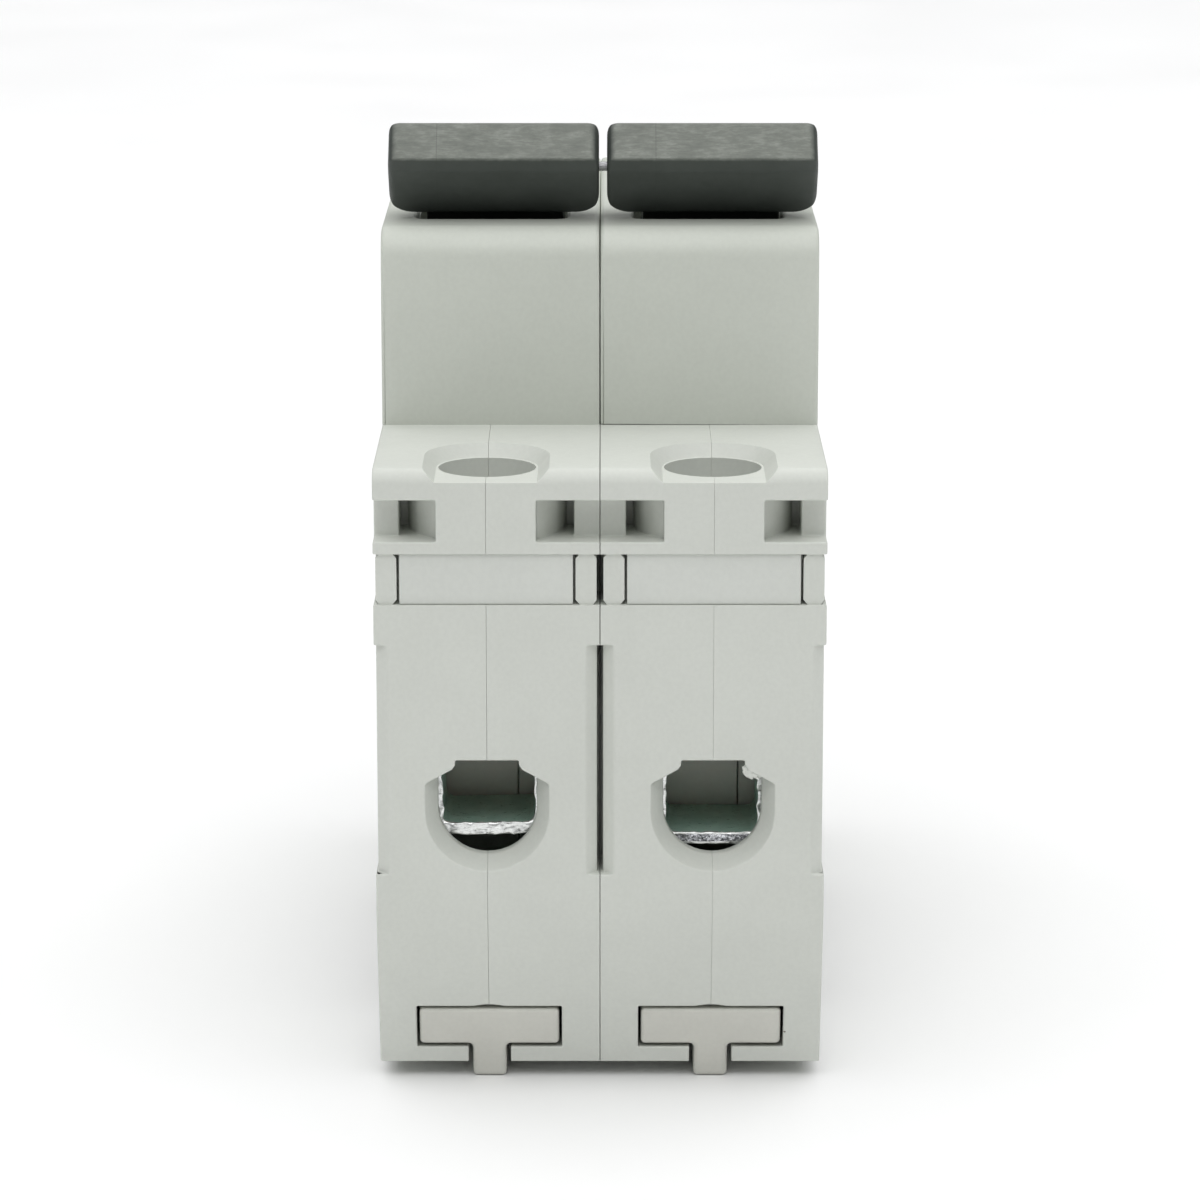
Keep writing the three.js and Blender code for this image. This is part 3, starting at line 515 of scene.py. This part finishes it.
def passivated_cage(name):
    """Zinc plate with a green-grey passivated skin, bare and scored on the sheared rims."""
    s = Shader(name)
    blotch = s.noise(2.2 * MM, 4, 0.6)
    skin = s.ramp(blotch, [(0.3, srgb(150, 186, 172)), (0.7, srgb(178, 208, 194))])
    streak = s.noise(0.35 * MM, 6, 0.75, (0.5, 1, 1.6))
    pitted = s.noise(0.2 * MM, 5, 0.8, (0.7, 1, 1))
    bare = s.ramp(streak, [(0.36, srgb(150, 152, 150)), (0.46, srgb(226, 228, 226)),
                           (0.6, srgb(248, 250, 248))])
    sheared = s.ramp(pitted, [(0.4, srgb(44, 45, 48)), (0.5, srgb(150, 152, 156)),
                              (0.6, srgb(235, 236, 240))])
    rim = s.mix(sheared_band(s), bare, sheared)
    base = s.mix(rim_mask(s), skin, rim)
    rough = s.ramp(streak, [(0.3, 0.24), (0.7, 0.4)])
    normal = s.bump(streak, 0.02 * MM, 0.4)
    metallic = s.ramp(rim_mask(s), [(0.0, 0.3), (1.0, 0.85)])
    return s.set(colour=base, roughness=rough, normal=normal, metallic=metallic)


BAND = (0.28 * MM, 0.86 * MM)    # the rough band's edges, above the cages' undersides
RIM_DEPTH = 0.15 * MM            # bare metal on the rims, before its raggedness


def sheared_band(s):
    """1 in the rough band along the right cages' floors, where the shear broke through."""
    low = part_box("right_load_cage")[0].z
    split = s.node("ShaderNodeSeparateXYZ")
    s.link(s.place, split.inputs[0])
    wobble = s.math("MULTIPLY", s.noise(0.7 * MM, 3), 0.12 * MM)
    level = s.math("ADD", split.outputs["Z"], wobble)
    above = s.math("GREATER_THAN", level, low + BAND[0])
    below = s.math("LESS_THAN", level, low + BAND[1])
    right = s.math("GREATER_THAN", split.outputs["X"], 0.0)
    return s.math("MULTIPLY", s.math("MULTIPLY", above, below), right)


def rim_mask(s):
    """1 within about a third of a millimetre of the cages' outer rims."""
    split = s.node("ShaderNodeSeparateXYZ")
    s.link(s.place, split.inputs[0])
    reach = s.math("ABSOLUTE", split.outputs["Y"])
    ragged = s.math("ADD", reach, s.math("MULTIPLY", s.noise(0.4 * MM, 3), 0.3 * MM))
    return s.math("GREATER_THAN", ragged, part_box("left_line_cage")[1].y - RIM_DEPTH)


def enamelled_wire(name):
    s = Shader(name)
    base = s.ramp(s.noise(2 * MM, 3), [(0.3, srgb(150, 70, 32)), (0.7, srgb(186, 96, 48))])
    normal = s.bump(s.noise(0.3 * MM, 2), 0.004 * MM, 0.5)
    rough = s.ramp(s.noise(1 * MM, 2), [(0.3, 0.2), (0.7, 0.3)])
    return s.set(colour=base, roughness=rough, normal=normal, metallic=0.85)


def floor_material():
    s = Shader("floor")
    base = s.ramp(s.noise(0.2, 3), [(0.3, (0.93, 0.93, 0.93)), (0.7, (0.95, 0.95, 0.95))])
    rough = s.ramp(s.noise(0.05, 2), [(0.3, 0.55), (0.7, 0.65)])
    return s.set(colour=base, roughness=rough)


MATERIAL = {
    "housing": moulded_plastic("housing_plastic", srgb(208, 211, 204)),
    "front_cover": moulded_plastic("cover_plastic", srgb(202, 206, 197), 0.46),
    "end_insert": moulded_plastic("insert_plastic", srgb(209, 212, 206)),
    "rail_clip": moulded_plastic("clip_plastic", srgb(206, 206, 198), 0.4, 0.05),
    "toggle": toggle_plastic("toggle_plastic"),
    "zinc_cage": passivated_cage("passivated_zinc"),
    "zinc_screw": metal("zinc_screw_plate", srgb(216, 218, 216), 0.3),
    "rivet": metal("rivet_plate", srgb(196, 198, 198), 0.34),
    "steel": metal("plain_steel", srgb(182, 182, 184), 0.3),
    "spring_steel": metal("spring_wire", srgb(150, 150, 152), 0.25),
    "copper": metal("copper_strip", srgb(198, 118, 82), 0.3, (1, 0.1, 1)),
    "copper_braid": metal("copper_braid", srgb(190, 108, 70), 0.35),
    "coil_wire": enamelled_wire("enamelled_wire"),
    "iron": metal("iron_strip", srgb(128, 130, 133), 0.42, (1, 0.15, 1)),
    "bimetal": metal("bimetal_strip", srgb(190, 180, 160), 0.3, (1, 1, 0.1)),
    "arc_plates": metal("arc_plate_steel", srgb(160, 156, 152), 0.36),
    "trip_lever": moulded_plastic("trip_thermoset", srgb(52, 70, 128), 0.4, 0.06, False),
}


# ---------------------------------------------------------------- mouldings

JOINT_REACH = 0.09 * MM          # points this near the middle plane are on the poles' joint
SHELL_JOINT = 0.03 * MM          # half the joint's width at the load end
COVER_JOINT = 0.045 * MM
CLOSED_JOINT = 0.004 * MM        # and at the line end


def joint_between_poles(place, gap):
    """The poles' joint is open at the load end and runs askew to a closed line at the other."""
    if place.y < 0:
        return math.copysign(gap, place.x)
    return math.copysign(CLOSED_JOINT, place.x) + 2 * gap


WELL_ASIDE = 5.5 * MM            # the recess round a well, to each side of the pole's middle
WELL_SUNK = 1.3 * MM             # below the shoulders
WELL_NEAR = 28 * MM              # and from here outwards
END_FACE = 39 * MM               # what is further out than this is on an end face
INSERT_MARGIN = 0.3 * MM


def by_a_well(place):
    """On the shoulders, in or round the recess of a screw well."""
    aside = min(abs(place.x - middle) for middle in POLE_MIDDLE.values())
    return aside < WELL_ASIDE and place.z > SHOULDER - WELL_SUNK and abs(place.y) > WELL_NEAR


def by_an_insert(place):
    """On the end faces, round the plates set into them."""
    low, high = INSERT_LEVELS
    beside = low - INSERT_MARGIN < place.z < high + INSERT_MARGIN
    return abs(place.y) > END_FACE and beside


# Where the rivets and the trip shaft come through the shells.
THROUGH_NODES = ("rivet_1", "rivet_2", "rivet_3", "rivet_4", "trip_shaft")
THROUGH_HOLES = [middle_of(node)[0] for node in THROUGH_NODES]
HOLE_REACH = 3 * MM


def by_a_through_hole(place):
    """Round a hole in the flanks, whose edge stays sharp."""
    return any(math.hypot(place.y - hole.y, place.z - hole.z) < HOLE_REACH
               for hole in THROUGH_HOLES)


FLARE_ASIDE = 6.97 * MM          # an insert's side gaps, from the pole's middle
FLARE_REACH = (0.5 * MM, 0.65 * MM)
FLARE_SCALE = (0.72, 0.68)
END_GAP = 0.08 * MM              # above and below an insert


def draw_in_flare(vert, middle):
    """The triangles that end the side gaps of an insert are a third of a millimetre across."""
    place = vert.co
    edge = middle + math.copysign(FLARE_ASIDE, place.x - middle)
    for level in (INSERT_LEVELS[0] - END_GAP, INSERT_LEVELS[1] + END_GAP):
        across, up = place.x - edge, place.z - level
        near = abs(across) < FLARE_REACH[0] and abs(up) < FLARE_REACH[1]
        if abs(place.y) > END_FACE and near:
            place.x, place.z = edge + across * FLARE_SCALE[0], level + up * FLARE_SCALE[1]


SEAM_REACH = 0.075 * MM          # points this near a pole's middle plane are on its seam
SEAM_GAP = {"left": 0.01 * MM, "right": 0.006 * MM}
SLOT_SIDE = 2.45 * MM            # one side of the slots through the bulkheads
SLOT_NEAR = 0.02 * MM
SLOT_DRAWN_IN = 0.13 * MM
SHELL_EDGE = 0.13 * MM           # rounding of the shells' edges where the weight is 1
SEAM_WEIGHT, FINE_WEIGHT, OPEN_WEIGHT = 0.16, 0.2, 0.9


def shell(side, kind):
    """One half of a pole. The gaps to its other half and to the other pole are hair lines."""
    middle = POLE_MIDDLE[side]
    bm = cad_copy(f"{side}_{kind}_shell")
    seam, flank = set(), set()
    for vert in bm.verts:
        draw_in_flare(vert, middle)
        off = vert.co.x - middle
        if abs(off) < SEAM_REACH:
            vert.co.x = middle + math.copysign(SEAM_GAP[side], off)
            seam.add(vert)
        elif abs(off - SLOT_SIDE) < SLOT_NEAR:
            vert.co.x -= SLOT_DRAWN_IN
        elif abs(vert.co.x) < JOINT_REACH:
            vert.co.x = joint_between_poles(vert.co, SHELL_JOINT)
            flank.add(vert)

    def weight(edge):
        if all(v in seam for v in edge.verts):
            return SEAM_WEIGHT
        if all(v in flank for v in edge.verts):
            return FINE_WEIGHT
        if all(by_a_through_hole(v.co) for v in edge.verts):
            return 0.0
        fine = all(by_a_well(v.co) or by_an_insert(v.co) for v in edge.verts)
        return FINE_WEIGHT if fine else OPEN_WEIGHT

    weigh_edges(bm, weight)
    piece = eased(object_from(bm, f"{side}_{kind}_shell_piece"), SHELL_EDGE)
    return stand_in(piece, f"{side}_{kind}_shell")


COVER_EDGE = 0.35 * MM
COVER_DROP = 0.05 * MM           # the covers' feet go down to the shoulders
COVER_LIFT = 0.03 * MM           # but for one corner, which stands off them
UPRIGHT = 3 * MM                 # longer edges than this are a cover's corners


def front_cover(side):
    """The raised part. It sits flush on the shoulders, but for one corner of the right pole's."""
    node = f"{side}_front_cover"
    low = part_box(node)[0]
    bm = cad_copy(node)
    base = set()
    for vert in bm.verts:
        if vert.co.z < low.z + 0.01 * MM:
            base.add(vert)
            lifted = side == "right" and vert.co.x < POLE_MIDDLE[side]
            vert.co.z += COVER_LIFT if lifted else -COVER_DROP
        if abs(vert.co.x) < JOINT_REACH:
            vert.co.x = joint_between_poles(vert.co, COVER_JOINT)

    def weight(edge):
        if any(v in base for v in edge.verts):
            return 0.0 if all(v in base for v in edge.verts) else 0.3
        upright = abs(edge.verts[0].co.z - edge.verts[1].co.z) > UPRIGHT
        return 0.3 if upright else 1.0

    weigh_edges(bm, weight)
    return stand_in(eased(object_from(bm, f"{node}_piece"), COVER_EDGE, 3), node)


INSERT_NARROWED = 0.16 * MM
INSERT_HEIGHTENED = 0.1 * MM
INSERT_EDGE = 0.06 * MM


def end_insert(side, end):
    """The plate in the end face: close above and below, with thin dark gaps at its sides."""
    node = f"{side}_{end}_end_insert"
    middle, size = middle_of(node)
    bm = cad_copy(node)
    for vert in bm.verts:
        vert.co.x = middle.x + (vert.co.x - middle.x) * (1 - INSERT_NARROWED / size.x)
        vert.co.z = middle.z + (vert.co.z - middle.z) * (1 + INSERT_HEIGHTENED / size.z)
    weigh_edges(bm, lambda edge: 1.0)
    return stand_in(eased(object_from(bm, f"{node}_piece"), INSERT_EDGE), node)


FLASH_PLACE = (3.05 * MM, 0.28 * MM, 26.62 * MM)   # from pole's middle, end face and ground
FLASH_RADII = (0.72, 0.2, 0.5)                     # millimetres
FLASH_TURN = math.radians(38)


def moulding_flash():
    """A ragged flap of flash on the upper corner of the right pole's wire entry."""
    middle = POLE_MIDDLE["right"]
    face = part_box("right_outer_shell")[0].y
    bm = bmesh.new()
    bmesh.ops.create_icosphere(bm, subdivisions=4, radius=1)
    centre = Vector((middle, face, 0)) + Vector(FLASH_PLACE)
    for vert in bm.verts:
        rough = 1 + 0.45 * noise.noise(vert.co * 2.1) + 0.2 * noise.noise(vert.co * 6)
        vert.co = centre + vert.co * Vector(FLASH_RADII) * rough * MM
    bmesh.ops.rotate(bm, verts=bm.verts, cent=centre, matrix=Matrix.Rotation(FLASH_TURN, 3, "Y"))
    piece = smooth(object_from(bm, "right_entry_flash"))
    piece.data.materials.append(MATERIAL["housing"])
    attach(piece, "housing")
    return piece


# ---------------------------------------------------------------- toggles

END_ROUND = 2.2 * MM             # a paddle's stations close up over this much of its ends
END_STEPS = 20
FOOT_CORNER = 2.0 * MM           # rounding of its corners, near the stalk and at the tip
TIP_CORNER = 1.0 * MM
END_EASE = 0.35 * MM             # and of the edges of its ends


def paddle_section():
    """Out from the pivot, back and rounding, in millimetres: flat tip, rounded back."""
    return smoothed_outline([
        (26.3, -1.85, 0.12), (26.3, 1.85, 0.4), (25.1, 2.12, 0.5), (19.4, 2.5, 0.8),
        (19.35, -2.3, 0.45), (25.0, -2.2, 0.6),
    ])


def corner_drop(u, radius):
    """How far a rounded corner has fallen back at this place along the paddle."""
    past = abs(u) - (PADDLE_HALF - radius)
    return radius - math.sqrt(max(radius * radius - past * past, 0)) if past > 0 else 0


def paddle_stations():
    quarter = [math.sin(math.pi / 2 * k / END_STEPS) for k in range(END_STEPS + 1)]
    half = [PADDLE_HALF - END_ROUND * (1 - reach) for reach in quarter]
    return [-u for u in reversed(half)] + [u * MM for u in (-4, -2, 0, 2, 4)] + half


def paddle(side):
    """The finger piece, its corners and its end edges rounded."""
    pivot = Vector(JOINTS["toggles_switch"]["pos_m"])
    pivot.x = middle_of(f"{side}_toggle")[0].x
    section = paddle_section()
    height = PADDLE_TIP - PADDLE_ROOT
    rings = []
    for u in paddle_stations():
        ease = corner_drop(u, END_EASE)
        low = PADDLE_ROOT + corner_drop(u, FOOT_CORNER) + ease
        top = PADDLE_TIP - corner_drop(u, TIP_CORNER) - ease
        ring = []
        for v, w in section:
            v = low + (v * MM - PADDLE_ROOT) * (top - low) / height
            w = w * MM * (1 - ease / (2 * MM))
            ring.append(pivot + Vector((u, 0, 0)) + PADDLE_OUT * v + PADDLE_BACK * w)
        rings.append(ring)
    bm = bmesh.new()
    skin(bm, rings)
    piece = object_from(bm, f"{side}_paddle")
    piece.modifiers.new("shading", "WEIGHTED_NORMAL").keep_sharp = True
    return held_in(freeze(smooth(piece, 50)))


STALK_FROM = 11 * MM             # the stalk begins this far out, clear of the drum
STALK_TOP = 19 * MM
STALK_RAISED = 1.2 * MM          # its top goes up into the paddle
STALK_FACE = 2.4 * MM            # its faces are further from its middle than this
STALK_FRONT_BACK = 1.45 * MM     # and move back in front
STALK_BACK_FORTH = 0.75 * MM     # and forward behind, so that it is slimmer than in the CAD


def toggle_drum(side):
    """What is below the paddle: the stalk, the drum that closes the slot, hub and trunnions."""
    pivot = Vector(JOINTS["toggles_switch"]["pos_m"])
    bm = cad_copy(f"{side}_toggle")
    cut_away(bm, pivot + PADDLE_OUT * (PADDLE_ROOT - 0.05 * MM), PADDLE_OUT, clear_outer=True)
    for vert in bm.verts:
        out, back = (vert.co - pivot).dot(PADDLE_OUT), (vert.co - pivot).dot(PADDLE_BACK)
        if out > STALK_TOP:
            vert.co += PADDLE_OUT * STALK_RAISED
        if out > STALK_FROM and abs(back) > STALK_FACE:
            vert.co += PADDLE_BACK * (STALK_FRONT_BACK if back < 0 else -STALK_BACK_FORTH)
    weigh_edges(bm, lambda edge: 1.0)
    return eased(object_from(bm, f"{side}_drum"), 0.2 * MM)


def toggle(side):
    for piece in (paddle(side), toggle_drum(side)):
        stand_in(piece, f"{side}_toggle")


# ---------------------------------------------------------------- terminals

RIM_REGION = 0.8 * MM            # the mesh is refined this near the rim
RIM_EDGE = 0.42 * MM             # until its edges are no longer than this
TEAR_DEPTH = 1.4 * MM            # and torn this far in
COARSE_TEAR = (0.9 * MM, 0.16)   # size and height of each grade of tear
FINE_TEAR = (0.3 * MM, 0.07)
BITE = 1.4                       # tears go deeper than they spread
CAGE_TILT = {"left": math.radians(1.1), "right": math.radians(-0.3)}
TEAR_SEED = 5
noise.seed_set(TEAR_SEED)        # noise_vector takes its offsets from this


def torn_cage(side, end):
    """The terminal cage: sheared plate whose front rim is torn and uneven."""
    node = f"{side}_{end}_cage"
    middle, size = middle_of(node)
    away = -1 if end == "load" else 1
    rim = middle.y + away * size.y / 2
    bm = cad_copy(node)
    bmesh.ops.triangulate(bm, faces=bm.faces)
    for _ in range(7):
        near = [e for e in bm.edges if e.calc_length() > RIM_EDGE
                and any(abs(v.co.y - rim) < RIM_REGION for v in e.verts)]
        bmesh.ops.subdivide_edges(bm, edges=near, cuts=1)
        bmesh.ops.triangulate(bm, faces=bm.faces)
    for vert in bm.verts:
        depth = abs(vert.co.y - rim)
        hold = max(0.0, 1 - depth / TEAR_DEPTH) ** 2
        tear = Vector()
        for grain, height in (COARSE_TEAR, FINE_TEAR):
            tear += noise.noise_vector(vert.co / grain) * height
        tear.y = -away * abs(tear.y) * BITE
        vert.co += tear * hold * MM
    turn = Matrix.Rotation(-CAGE_TILT[side], 3, "Y")
    bmesh.ops.rotate(bm, verts=bm.verts, cent=middle, matrix=turn)
    return stand_in(smooth(object_from(bm, f"{node}_piece"), 38), node)


HEAD = 3.45 * MM                 # of the screw, from its top to the thread
HEAD_EDGE = 0.13 * MM
THREAD_PITCH = 0.8 * MM
THREAD_CORE = 2.2 * MM
THREAD_DEPTH = 0.45 * MM
THREAD_SIDES = 28
THREAD_LEVELS = 8                # rings to a pitch
THREAD_POINT = 2.5 * MM          # the thread's end is tapered


def threaded_screw(side, end):
    """The pan head is the CAD's, over a shank with a rolled thread."""
    node = f"{side}_{end}_screw"
    low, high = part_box(node)
    middle = middle_of(node)[0]
    neck = high.z - HEAD
    bm = cad_copy(node)
    cut_away(bm, (0, 0, neck), (0, 0, 1), clear_inner=True)
    weigh_edges(bm, lambda edge: 1.0)
    stand_in(eased(object_from(bm, f"{node}_head"), HEAD_EDGE), node)
    stand_in(thread(node, middle, low.z, neck + 0.3 * MM), node)


def thread(node, middle, low, high):
    """A tube whose radius follows one turning ridge."""
    rings = []
    levels = int((high - low) / (THREAD_PITCH / THREAD_LEVELS))
    for i in range(levels + 1):
        z = low + (high - low) * i / levels
        taper = min(1, 0.8 + (z - low) / THREAD_POINT)
        ring = []
        for k in range(THREAD_SIDES):
            turn = k / THREAD_SIDES
            wave = abs(((z / THREAD_PITCH - turn) % 1) * 2 - 1)
            radius = (THREAD_CORE + THREAD_DEPTH * wave) * taper
            x = middle.x + radius * math.cos(2 * math.pi * turn)
            y = middle.y + radius * math.sin(2 * math.pi * turn)
            ring.append(Vector((x, y, z)))
        rings.append(ring)
    bm = bmesh.new()
    skin(bm, rings)
    return smooth(object_from(bm, f"{node}_thread"), 50)


# ---------------------------------------------------------------- mechanism

COIL_RADIUS, COIL_WIRE, COIL_TURNS = 4.2 * MM, 0.82 * MM, 6.4
SPRING_RADIUS, SPRING_WIRE, SPRING_TURNS = 2.35 * MM, 0.36 * MM, 3.6
COIL_SHORTER = 1.9 * MM          # the wire's own line, than the solid that stands for it
SPRING_SHORTER = 0.9 * MM


def trip_coil(side):
    node = f"{side}_trip_coil"
    middle, size = middle_of(node)
    bm = bmesh.new()
    line = helix(middle, (0, 1, 0), COIL_RADIUS, size.y - COIL_SHORTER, COIL_TURNS)
    tube(bm, line, COIL_WIRE, 12)
    return stand_in(smooth(object_from(bm, f"{node}_piece")), node)


def arm_spring(side):
    node = f"{side}_arm_spring"
    middle, size = middle_of(node)
    bm = bmesh.new()
    line = helix(middle, (1, 0, 0), SPRING_RADIUS, size.x - SPRING_SHORTER, SPRING_TURNS)
    tube(bm, line, SPRING_WIRE)
    return stand_in(smooth(object_from(bm, f"{node}_piece")), node)


STRANDS = 6
STRAND_RADIUS = 0.36 * MM
LAY_RADIUS = 0.6 * MM            # the strands' lines, from the braid's own
LAY_STEPS = 16                   # of the line, to one turn of the strands


def braid(side):
    """Six strands laid round the braid's own line, from the bimetal strip to the contact arm."""
    node = f"{side}_braid"
    low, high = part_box(node)
    middle = (low.x + high.x) / 2
    knots = [
        Vector((middle, low.y + 0.5 * MM, high.z - 1.2 * MM)),
        Vector((middle, low.y + 3.9 * MM, high.z - 3.4 * MM)),
        Vector((middle, low.y + 8.6 * MM, low.z + 1.15 * MM)),
        Vector((middle, high.y - 0.5 * MM, low.z + 2.1 * MM)),
    ]
    line = spline(knots, 40)
    bm = bmesh.new()
    for strand in range(STRANDS):
        path = []
        for i, point in enumerate(line):
            angle = 2 * math.pi * (strand / STRANDS + i / LAY_STEPS)
            path.append(point + Vector((math.cos(angle), 0, math.sin(angle))) * LAY_RADIUS)
        tube(bm, path, STRAND_RADIUS, 8)
    return stand_in(smooth(object_from(bm, f"{node}_piece")), node)


def spline(knots, steps):
    """A smooth line through the knots."""
    ends = [knots[0] * 2 - knots[1]] + knots + [knots[-1] * 2 - knots[-2]]
    points = []
    spans = len(knots) - 1
    for i in range(steps + 1):
        at = min(i / steps * spans, spans - 1e-6)
        k, t = int(at), at - int(at)
        p0, p1, p2, p3 = ends[k:k + 4]
        points.append(0.5 * (2 * p1 + (p2 - p0) * t + (2 * p0 - 5 * p1 + 4 * p2 - p3) * t * t
                             + (3 * p1 - 3 * p2 + p3 - p0) * t * t * t))
    return points


# ---------------------------------------------------------------- the whole breaker

# Edge rounding in millimetres, and its segments, of the pieces that keep the CAD's own shape.
EDGES = {
    "rail_clip": (0.36, 4), "load_terminal_plate": (0.15, 2), "line_terminal_plate": (0.15, 2),
    "link": (0.12, 2), "contact_arm": (0.15, 2), "arm_pivot_pin": (0.15, 2),
    "trip_lever": (0.15, 2),
    "fixed_contact": (0.12, 2), "arc_chute": (0.06, 1), "trip_yoke": (0.15, 2),
    "trip_plunger": (0.15, 2), "bimetal_strip": (0.08, 2),
}


def build_pole(side):
    shell(side, "outer")
    shell(side, "inner")
    front_cover(side)
    toggle(side)
    for end in ("load", "line"):
        end_insert(side, end)
        torn_cage(side, end)
        threaded_screw(side, end)
    for build in (trip_coil, arm_spring, braid):
        build(side)
    for kind, (width, segments) in EDGES.items():
        refined(f"{side}_{kind}", width, segments)


make_camera()
make_studio()
make_floor()
for pole in ("left", "right"):
    build_pole(pole)
for number in range(1, 5):
    refined(f"rivet_{number}", 0.15)
refined("trip_shaft", 0.1)
refined("toggle_tie_pin", 0.05)
moulding_flash()
